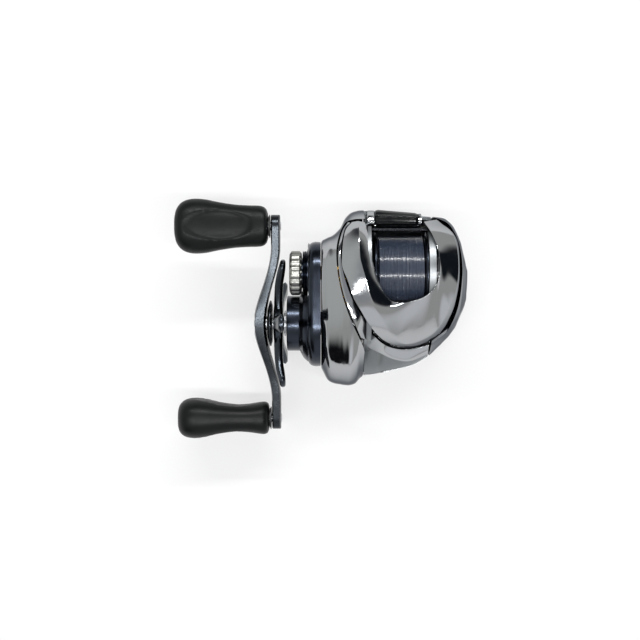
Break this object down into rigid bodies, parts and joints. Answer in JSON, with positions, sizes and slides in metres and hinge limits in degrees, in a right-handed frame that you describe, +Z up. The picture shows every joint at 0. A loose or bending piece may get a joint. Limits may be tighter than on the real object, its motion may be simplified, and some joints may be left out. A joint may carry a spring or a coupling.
{
  "type": "baitcasting reel",
  "caption": "Low-profile baitcasting fishing reel with swept double crank handle, star drag, cast-control cap, thumb bar, level wind and line-filled spool.",
  "frame": {"origin": "centre of the flat underside of the reel foot", "axes": "+X towards the palm side (the handle is on -X), +Y towards the angler, +Z up away from the rod"},
  "size_m": [0.1239, 0.1027, 0.0516],
  "materials": {
    "chrome": "polished chrome plating",
    "silver": "satin machined aluminium",
    "frame": "bright satin casting",
    "navy": "dark navy anodised gloss",
    "gunmetal": "dark anodised satin gloss",
    "star": "black-grey anodised gloss",
    "knob": "satin moulded rubber",
    "pad": "gloss moulded",
    "line": "wound monofilament",
    "steel": "ground",
    "brass": "machined",
    "carbon": "woven carbon disc",
    "plastic": "moulded"
  },
  "bodies": {
    "reel_body": {"frame": "frame", "front_hood": "chrome", "front_lip": "chrome", "gear_housing": "chrome", "gear_side_cover": "navy", "cover_screw_1": "steel", "cover_screw_2": "steel", "cover_screw_3": "steel", "roller_clutch": "steel", "pinion_bearing": "steel", "spool_bearing_gear": "steel", "guide_bar": "steel", "yoke_pin_1": "steel", "yoke_pin_2": "steel", "yoke_spring_1": "steel", "yoke_spring_2": "steel"},
    "palm_cover": {"palm_side_cover": "chrome", "brake_drum": "steel", "spool_bearing_palm": "steel"},
    "brake_dial": {"brake_dial": "plastic"},
    "spool": {"spool": "navy", "line_pack": "line", "spool_shaft": "steel", "brake_rotor": "plastic"},
    "pinion": {"pinion_gear": "brass"},
    "handle": {"main_shaft": "steel", "handle_arm": "gunmetal", "handle_collar": "gunmetal", "handle_nut": "steel", "nut_retainer": "gunmetal", "retainer_screw": "steel", "rear_knob_post": "steel", "front_knob_post": "steel", "rear_knob_collar": "plastic", "front_knob_collar": "plastic", "drive_gear": "brass", "drag_washer": "carbon", "drag_key_washer": "steel", "anti_reverse_ratchet": "steel", "levelwind_drive_gear": "plastic", "roller_clutch_tube": "steel", "drag_spring_washer": "steel"},
    "rear_knob": {"rear_knob": "knob", "rear_knob_cap": "silver", "rear_knob_bearing": "steel"},
    "front_knob": {"front_knob": "knob", "front_knob_cap": "silver", "front_knob_bearing": "steel"},
    "star_drag": {"star_drag": "star"},
    "cast_control": {"cast_control_cap": "silver", "cast_control_disc": "brass"},
    "thumb_bar": {"thumb_bar": "pad", "thumb_bar_bracket": "chrome"},
    "clutch_cam": {"clutch_cam": "plastic"},
    "clutch_yoke": {"clutch_yoke": "plastic"},
    "worm": {"worm_shaft": "steel", "worm_gear": "plastic"},
    "line_guide": {"line_guide": "plastic", "levelwind_pawl": "brass"}
  },
  "joints": [
    {"name": "handle_crank", "type": "hinge", "parent": "reel_body", "child": "handle", "pos_m": [-0.05, -0.0158, 0.019], "axis": [1, 0, 0], "continuous": true},
    {"name": "rear_knob_spin", "type": "hinge", "parent": "handle", "child": "rear_knob", "pos_m": [-0.075, 0.0254, 0.02479], "axis": [1, 0, 0], "continuous": true},
    {"name": "front_knob_spin", "type": "hinge", "parent": "handle", "child": "front_knob", "pos_m": [-0.075, -0.05699, 0.01321], "axis": [1, 0, 0], "continuous": true},
    {"name": "star_drag_turn", "type": "hinge", "parent": "handle", "child": "star_drag", "pos_m": [-0.051, -0.0158, 0.019], "axis": [1, 0, 0], "range_deg": [-180, 180]},
    {"name": "cast_control_turn", "type": "hinge", "parent": "reel_body", "child": "cast_control", "pos_m": [-0.044, 0.0055, 0.0245], "axis": [1, 0, 0], "range_deg": [-180, 180]},
    {"name": "spool_spin", "type": "hinge", "parent": "reel_body", "child": "spool", "pos_m": [0, 0.0055, 0.0245], "axis": [1, 0, 0], "continuous": true},
    {"name": "pinion_spin", "type": "hinge", "parent": "clutch_yoke", "child": "pinion", "pos_m": [-0.024, 0.0055, 0.0245], "axis": [1, 0, 0], "continuous": true},
    {"name": "worm_spin", "type": "hinge", "parent": "reel_body", "child": "worm", "pos_m": [0, -0.0195, 0.0125], "axis": [1, 0, 0], "continuous": true},
    {"name": "line_guide_travel", "type": "slide", "parent": "reel_body", "child": "line_guide", "axis": [1, 0, 0], "range_m": [-0.0075, 0.0075]},
    {"name": "thumb_bar_press", "type": "slide", "parent": "reel_body", "child": "thumb_bar", "axis": [0, 0, -1], "range_m": [0, 0.004]},
    {"name": "clutch_cam_turn", "type": "hinge", "parent": "reel_body", "child": "clutch_cam", "pos_m": [-0.016, 0.0055, 0.0245], "axis": [1, 0, 0], "range_deg": [0, 20.1]},
    {"name": "clutch_yoke_slide", "type": "slide", "parent": "reel_body", "child": "clutch_yoke", "axis": [-1, 0, 0], "range_m": [0, 0.0015]},
    {"name": "palm_cover_release", "type": "slide", "parent": "reel_body", "child": "palm_cover", "axis": [1, 0, 0], "range_m": [0, 0.03]},
    {"name": "brake_dial_turn", "type": "hinge", "parent": "palm_cover", "child": "brake_dial", "pos_m": [0.028, -0.0025, 0.0209], "axis": [1, 0, 0], "range_deg": [0, 270]}
  ],
  "couplings": [
    {"joint": "spool_spin", "follows": "handle_crank", "ratio": -7},
    {"joint": "pinion_spin", "follows": "handle_crank", "ratio": -7},
    {"joint": "worm_spin", "follows": "handle_crank", "ratio": -1.5714},
    {"joint": "clutch_cam_turn", "follows": "thumb_bar_press", "rad_per_m": 87.266},
    {"joint": "clutch_yoke_slide", "follows": "thumb_bar_press", "ratio": 0.375}
  ]
}
